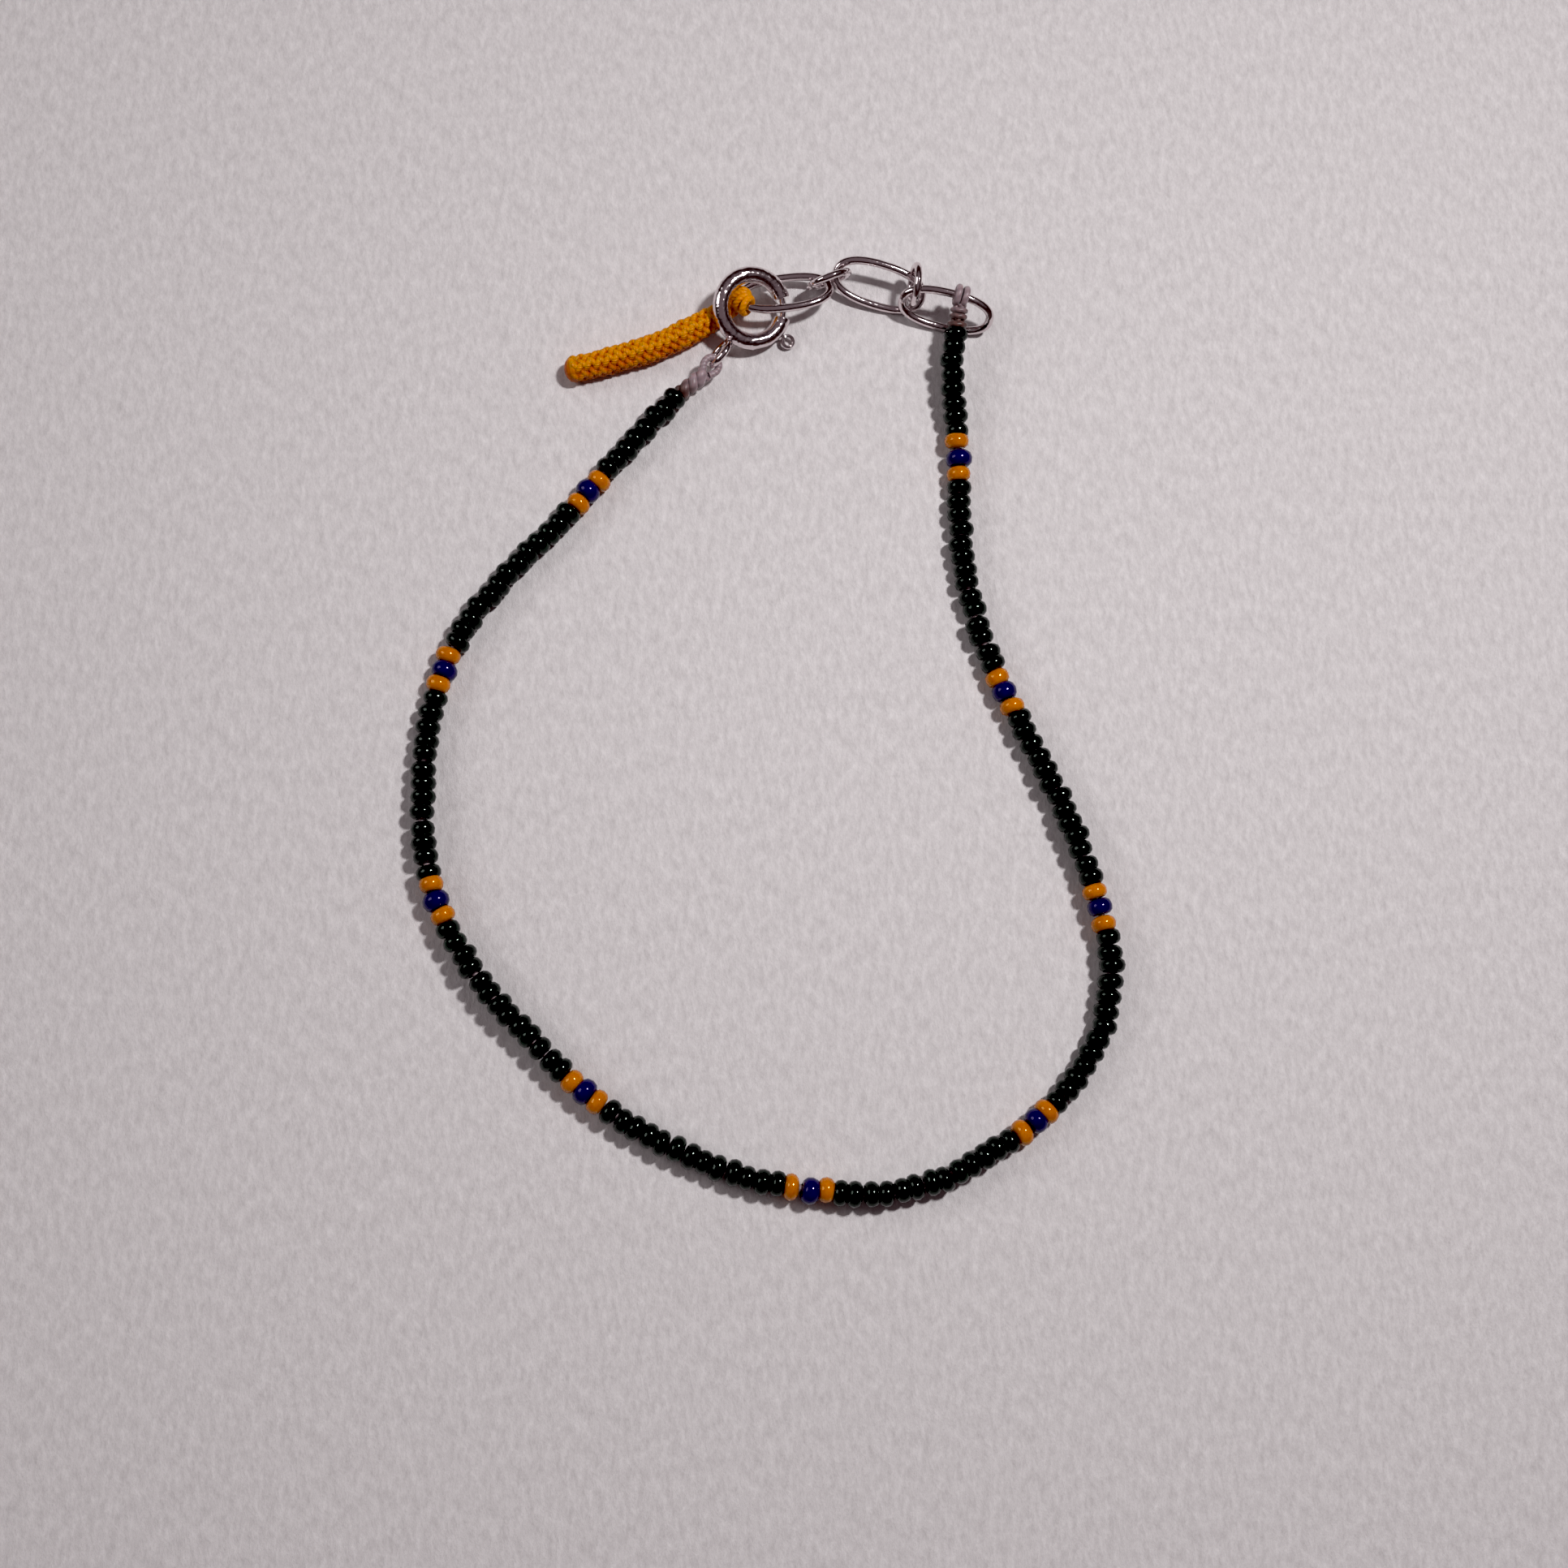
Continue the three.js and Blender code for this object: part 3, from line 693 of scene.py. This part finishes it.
def make_clasp():
    """The tube with an upright eye soldered to it, and the sliding tongue with its lever."""
    radial, across = polar(1.0, EYE["at"]), polar(1.0, EYE["at"] + 90)
    loop = circle(EYE["radius"], 64)
    eye_path = polar(EYE["middle"], EYE["at"]) + loop[:, :1] * radial + loop[:, 1:2] * UP
    eye = swept(eye_path, EYE["wire"], 14, reference=across, closed=True)
    solder = ellipsoid(polar(CLASP["radius"] + CLASP["tube"] + SOLDER_OUT, EYE["at"]), SOLDER)
    shells = [spring_ring(), eye, solder]
    add_in_clasp("silver_clasp_ring", shells, CLASP_SILVER, "bracelet", "clasp_ring")

    arc = polar(CLASP["radius"], np.linspace(TONGUE["from"], TONGUE["to"], 50))
    tongue = swept(arc, blunt(len(arc), TONGUE["radius"], 4), 14)
    stem = np.linspace(CLASP["radius"], LEVER["eye"] - LEVER["eye_radius"], 12)
    lever = swept(polar(stem, LEVER["at"]), LEVER["wire"] * LEVER_STEM, 12)
    curl = polar(LEVER["eye"], LEVER["at"]) + circle(LEVER["eye_radius"], 40)
    eye = swept(curl, LEVER["wire"], 14, closed=True)
    add_in_clasp("silver_trigger", [tongue, lever, eye], WIRE_SILVER, "trigger", "trigger")


make_clasp()

# ---------------------------------------------------------------- threads

LOOP_GAP, LOOP_RADIUS = 0.05, 0.25  # a loop on a link's wire: its distance, and its own radius
BIGHT = {"gap": 0.08, "clear": 0.26, "radius": 0.27}  # clear: the radius it leaves room for
# The bight from one end to its far side, as shares of its clear distance: outward and aside.
BIGHT_SIDE = [(1.25, 0.5), (0.7, 0.85), (0, 1), (-0.7, 0.72), (-1, 0)]
TWIST = {"turns": 1.6, "spread": 0.28, "radius": 0.36}
TWIST_SHORT = 0.02  # it stops before the strand by this share of its length
BUNDLE = {"turns": 0.35, "spread": 0.3, "radius": 0.22, "strands": 4}
BUNDLE_TURNS = (0.5, 1.05)  # where two turns of thread sit along the last link
BUNDLE_AT = 0.775  # and where the bundle leaves it
BUNDLE_FROM, BUNDLE_SHORT = 0.55, 0.03  # how far from the link's arm, and from the strand
BINDINGS = [(0.3, 0.2), (0.55, 0.2), (0.9, 0.24)]  # a share of the bundle's length, and a radius
BINDING_INSIDE = 0.28


def twisted(start, finish, turns, spread, radius, strands=2):
    """Strands wound about the line between two points: line + spread * (cos a, sin a) across it,
    with a growing by 360 degrees a turn and the strands evenly apart."""
    count = 60
    share = np.linspace(0, 1, count)[:, None]
    line = start + share * (finish - start)
    right, above = frames_along(line)
    tile = (1, np.linalg.norm(finish - start) * 2)
    shells = []
    for k in range(strands):
        angle = 2 * np.pi * (turns * share + k / strands)
        path = line + spread * (np.cos(angle) * right + np.sin(angle) * above)
        shells.append(swept(path, blunt(count, radius, 3), 12, tile=tile))
    return shells


def add_thread(name, node, shells, knot, most, fade):
    """A piece of thread with brown wax near a point: most - distance / fade, from 0 to 1."""
    distance = [np.linalg.norm(s["points"] - knot, axis=1) for s in shells]
    wax = np.concatenate([np.clip(most - d / fade, 0, 1) for d in distance])
    add_piece(name, shells, THREAD_FINISH, "bracelet", "waxed_thread", node, shade=wax)


def make_clasp_thread():
    """A bight of thread round the far wire of the clasp's eye, whose two ends twist together on
    the way to the last bead."""
    far = EYE["middle"] + EYE["radius"]
    clear = EYE["wire"] + BIGHT["gap"] + BIGHT["clear"]
    rows = BIGHT_SIDE + [(out, -aside) for out, aside in BIGHT_SIDE[-2::-1]]
    across = polar(1.0, EYE["at"] + 90)
    bight = [polar(far + out * clear, EYE["at"]) + aside * clear * across for out, aside in rows]
    bight = in_clasp(smooth_path(bight, 60))
    start = in_clasp(polar(far + BIGHT_SIDE[0][0] * clear, EYE["at"]))
    finish = STRAND[-1] + TWIST_SHORT * (start - STRAND[-1])
    shells = [swept(bight, BIGHT["radius"], 12, tile=(1, 8))] + twisted(start, finish, **TWIST)
    add_thread("thread_at_clasp", "clasp_thread", shells, STRAND[-1], 1.7, 1.0)


def on_link(name, x, y):
    """A point of a link's own plane, where the link lies."""
    return turned(np.array([[x, y, 0.0]]), *LINK_PLACES[name])[0]


def bulge(share):
    """The squared oval's reach at a share of its other half size: (1 - |share|**p)**(1/p)."""
    return (1 - abs(share) ** LINK["power"]) ** (1 / LINK["power"])


def link_arm(name, x):
    """The point of a link's far arm this far along it."""
    return on_link(name, x, LINK["width"] / 2 * bulge(2 * x / LINK["length"]))


def link_end(name, y):
    """The point of a link's near end this far aside."""
    return on_link(name, -LINK["length"] / 2 * bulge(2 * y / LINK["width"]), y)


def wrap_round(centre, along, inner, radius):
    """A closed turn of cord of this radius round a wire, clear of it by the inner radius."""
    along = unit(np.asarray(along, float))
    right = unit(np.cross(along, UP))
    above = np.cross(right, along)
    loop = circle(inner + radius, 40)
    path = centre + loop[:, :1] * right + loop[:, 1:2] * above
    return swept(path, radius, 12, reference=along, closed=True, tile=(1, 5))


def loop_on_link(place, name, at, step):
    """A closed turn of cord on a link's wire at place(name, at), square to the wire there."""
    here = place(name, at)
    along = place(name, at + step) - here
    return wrap_round(here, along, LINK["wire"] / 2 + LOOP_GAP, LOOP_RADIUS)


def make_chain_thread():
    """Two turns of thread on the last link's upper arm, then a bundle of strands down to the first
    bead, bound across."""
    shells = [loop_on_link(link_arm, "link_3", x, 0.1) for x in BUNDLE_TURNS]
    arm = link_arm("link_3", BUNDLE_AT)
    toward = unit(STRAND[0] - arm)
    start, finish = arm + toward * BUNDLE_FROM, STRAND[0] - toward * BUNDLE_SHORT
    shells += twisted(start, finish, **BUNDLE)
    for share, radius in BINDINGS:
        middle = start + share * (finish - start)
        shells.append(wrap_round(middle, toward, BINDING_INSIDE, radius))
    add_thread("thread_at_chain", "chain_thread", shells, STRAND[0], 1.6, 1.4)


make_clasp_thread()
make_chain_thread()

# ---------------------------------------------------------------- the yellow cord

TAG_ROUTE = [
    (-14.66, 26.4, 0.97), (-13.57, 26.56, 0.99), (-10.74, 27.35, 0.99), (-7.49, 28.48, 0.99),
    (-5.1, 29.75, 0.98), (-3.3, 30.85, 0.92), (-2.45, 31.4, 0.86), (-1.85, 31.8, 0.98),
]
PAINTED_LIGHT_SIDE = unit(np.array([0.4, 0.6, 0.7]))  # painted light: the cord's colour is paler on this side, the side toward the key lamp
BRAID = {"yarns": 6, "lay": 4.1, "radius": 0.74, "wave": 0.07, "yarn": 0.27, "core": 0.78}
STAGGER = 0.25  # one family of yarns is ahead of the other by this share of a yarn's step
YARN_DRIFT = {"angle": 0.09, "rate": 1.6, "radius": 0.02, "thickness": 0.05}  # how uneven they are
# The cord's width along it is a product of shares, each least + gain * an easing.
NECK = {"length": 3.4, "power": 0.6, "least": 0.58, "gain": 0.42}  # toward the link
ROUNDING = {"length": 0.95, "least": 0.6, "gain": 0.4}  # a quarter circle at the melted end
TAPER = {"length": 6, "least": 0.93, "gain": 0.07}  # toward the melted end
LUMPS = {"gain": 0.02, "rate": 2.2}
MELTED = {"points": 48, "radius": 0.95, "dome": 2.2, "tip": 0.003, "shrink": 0.35}
BRAID_START = 12  # the first points of the path have no yarns, only the melted end
LOOPS_AT = (-0.8, -0.42, 0.0, 0.4)  # across the first link's end
KNOT = {"points": 30, "past": 0.65, "radius": 0.42}  # from the braid to just past the link's end
# Painted shade and light: the cord is darker in its furrows, lighter on its crests, and lighter on
# the side toward the key lamp.
CREST = {"from": 0.7, "depth": 0.36, "painted_light": 0.35, "painted_light_from": 0.2}
CORD_FLOOR = 0.01  # no part of the cord goes below this


def braid_shells(path, swell):
    """A round braid carried along a line. Each yarn of a family winds at radius + wave * cos of 360
    degrees * yarns * s / lay, turning one way or the other by 360 degrees a lay, so the families
    pass over and under each other at every crossing, on a plain core."""
    s, _ = along_and_length(path)
    right, above = frames_along(path)
    over = np.cos(2 * np.pi * BRAID["yarns"] * s / BRAID["lay"])
    shells = [swept(path, BRAID["core"] * swell, 24, tile=(6, 60))]
    for way in (1, -1):
        for yarn in range(BRAID["yarns"]):
            share = yarn / BRAID["yarns"] + STAGGER / BRAID["yarns"] * (way > 0)
            drift = YARN_DRIFT["angle"] * np.sin(YARN_DRIFT["rate"] * s + RNG.uniform(0, 6.3))
            angle = (2 * np.pi * (way * s / BRAID["lay"] + share) + drift)[:, None]
            out = BRAID["radius"] + way * BRAID["wave"] * over + RNG.normal(0, YARN_DRIFT["radius"])
            aside = np.cos(angle) * right + np.sin(angle) * above
            line = path + (out * swell)[:, None] * aside
            thick = BRAID["yarn"] * swell * RNG.normal(1, YARN_DRIFT["thickness"])
            shells.append(swept(line, thick * blunt(len(path), 1, 4), 10, tile=(2, 60)))
    return shells


def cord_swell(s, length):
    """The cord's width at each distance from its melted end, as a share of the braid's own."""
    to_link = np.clip((length - s) / NECK["length"], 0, 1)
    neck = to_link ** NECK["power"] * NECK["gain"] + NECK["least"]
    to_end = np.clip(1 - s / ROUNDING["length"], 0, 1)
    rounding = ROUNDING["least"] + ROUNDING["gain"] * np.sqrt(1 - to_end**2)
    taper = TAPER["least"] + TAPER["gain"] * np.clip(s / TAPER["length"], 0, 1)
    return neck * rounding * taper * (1 + LUMPS["gain"] * np.sin(LUMPS["rate"] * s))


def melted_end(path):
    """A smooth dome over the cut end, which shrinks away under the yarns."""
    far = np.linspace(0, 1, len(path))
    dome = np.clip(1 - (1 - far * MELTED["dome"]).clip(0, 1) ** 2, MELTED["tip"], 1)
    return swept(path, MELTED["radius"] * np.sqrt(dome) * (1 - MELTED["shrink"] * far**3), 28)


def painted_crest_shade(points, path, swell):
    """Painted shade and light: 0 in the furrows to 1 on the crests, and higher on the side toward
    the key lamp, by the distance from the nearest of every sixth point of the path."""
    every = 6
    apart = points[:, None, :2] - path[None, ::every, :2]
    nearest = (apart**2).sum(axis=2).argmin(axis=1) * every
    offset = points - path[nearest]
    out = np.linalg.norm(offset, axis=1) / swell[nearest]
    # painted light: lighter on the side toward the key lamp
    pale = CREST["painted_light"] * (offset @ PAINTED_LIGHT_SIDE - CREST["painted_light_from"])
    return np.clip((out - CREST["from"]) / CREST["depth"] + pale, 0, 1)


def make_tag():
    """The braid from its melted end to the knot that narrows into the loops on the first link."""
    path = smooth_path(TAG_ROUTE, 420)
    swell = cord_swell(*along_and_length(path))
    shells = braid_shells(path[BRAID_START:], swell[BRAID_START:])
    shells.append(melted_end(path[: MELTED["points"]]))
    shells += [loop_on_link(link_end, "link_1", y, 0.05) for y in LOOPS_AT]
    start = path[-KNOT["points"]]
    outside = on_link("link_1", -LINK["length"] / 2 - KNOT["past"], 0.0)
    knot = smooth_path([start, (start + outside) / 2, outside], 12)
    shells.append(swept(knot, KNOT["radius"], 12))
    for shell in shells:
        shell["points"][:, 2] = np.maximum(shell["points"][:, 2], CORD_FLOOR)
    # painted shade and light, read by the cord's colour ramp
    shade = np.concatenate([painted_crest_shade(s["points"], path, swell) for s in shells])
    name, node = "knotted_yellow_cord", "yellow_tag"
    add_piece(name, shells, NYLON, "bracelet", "yellow_cord", node, shade=shade)


make_tag()

# ---------------------------------------------------------------- floor and light

# Angles are in degrees, distance and width in millimetres, and power is in watts.
LAMPS = {
    "key": {
        "azimuth": 29.2, "elevation": 62.9, "distance": 337,
        "width": 35, "spread": 110, "power": 0.28,
    },
    "fill": {
        "azimuth": 165, "elevation": 38, "distance": 500,
        "width": 260, "spread": 180, "power": 0.56,
    },
}
FLOOR = 900
BLACK_LEVEL = 0.014


def make_floor():
    """A square sheet of paper, far wider than the bracelet."""
    half = FLOOR / 2 * MM
    corners = [(-half, -half, 0), (half, -half, 0), (half, half, 0), (-half, half, 0)]
    mesh = bpy.data.meshes.new("paper")
    mesh.from_pydata(corners, [], [(0, 1, 2, 3)])
    mesh.materials.append(laid_paper())
    paper = bpy.data.objects.new("paper", mesh)
    bpy.context.scene.collection.objects.link(paper)


def area_light(name, azimuth, elevation, distance, width, spread, power):
    """A round lamp that faces the middle of the bracelet, and dims toward the edge of its
    spread."""
    lamp = bpy.data.lights.new(name, "AREA")
    lamp.shape = "DISK"
    lamp.size = width * MM
    lamp.energy = power
    lamp.spread = math.radians(spread)
    light = bpy.data.objects.new(name, lamp)
    bpy.context.scene.collection.objects.link(light)
    a, e = math.radians(azimuth), math.radians(elevation)
    at = np.array([math.cos(e) * math.cos(a), math.cos(e) * math.sin(a), math.sin(e)]) * distance
    light.matrix_world = looking(at, (0, 0, 0))


def make_world():
    """A dim room: dark brown walls, and a mauve-grey ceiling."""
    world = bpy.data.worlds.new("room")
    world.use_nodes = True
    tree = world.node_tree
    direction = add_node(tree, "ShaderNodeTexCoord").outputs["Generated"]
    height = add_node(tree, "ShaderNodeSeparateXYZ", [("Vector", direction)]).outputs["Z"]
    colour = colour_steps(tree, height, [(0.0, "#463838"), (0.55, "#261A1A"), (0.82, "#706468")])
    background = tree.nodes["Background"]
    tree.links.new(colour, background.inputs["Color"])
    background.inputs["Strength"].default_value = 1.0
    bpy.context.scene.world = world


def camera_response():
    """A small camera's own contrast: its deepest shadows close up to black."""
    view = bpy.context.scene.view_settings
    view.view_transform = "Standard"
    view.use_curve_mapping = True
    view.curve_mapping.black_level = (BLACK_LEVEL,) * 3
    view.curve_mapping.update()


make_floor()
for lamp_name, place in LAMPS.items():
    area_light(lamp_name, **place)
make_world()
camera_response()
